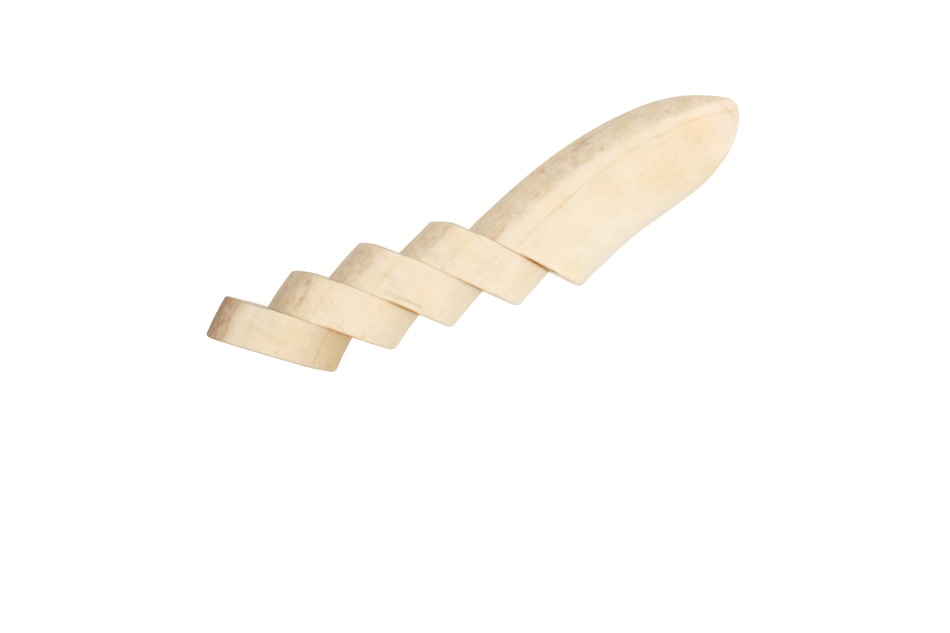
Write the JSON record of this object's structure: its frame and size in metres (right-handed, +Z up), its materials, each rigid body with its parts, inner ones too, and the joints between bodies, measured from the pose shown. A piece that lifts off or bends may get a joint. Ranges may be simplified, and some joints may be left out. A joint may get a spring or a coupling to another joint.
{
  "type": "sliced banana",
  "caption": "Peeled banana lying on its side, the tip end in one long piece and the rest cut into thick slices slid apart in a stepped row.",
  "frame": {"origin": "under the middle of the row's box, on the surface that it lies on", "axes": "+X along the row from the outer slice to the fruit's tip, +Z up, so +Y is towards the outer side of the bend"},
  "size_m": [0.1478, 0.036, 0.0337],
  "materials": {
    "banana_flesh": "moist cream fruit flesh with lengthwise fibres, ochre seams and tan bruising on its outer side"
  },
  "bodies": {
    "root": {"slice_1": "banana_flesh", "slice_2": "banana_flesh", "slice_3": "banana_flesh", "slice_4": "banana_flesh", "tip_piece": "banana_flesh"}
  },
  "joints": []
}
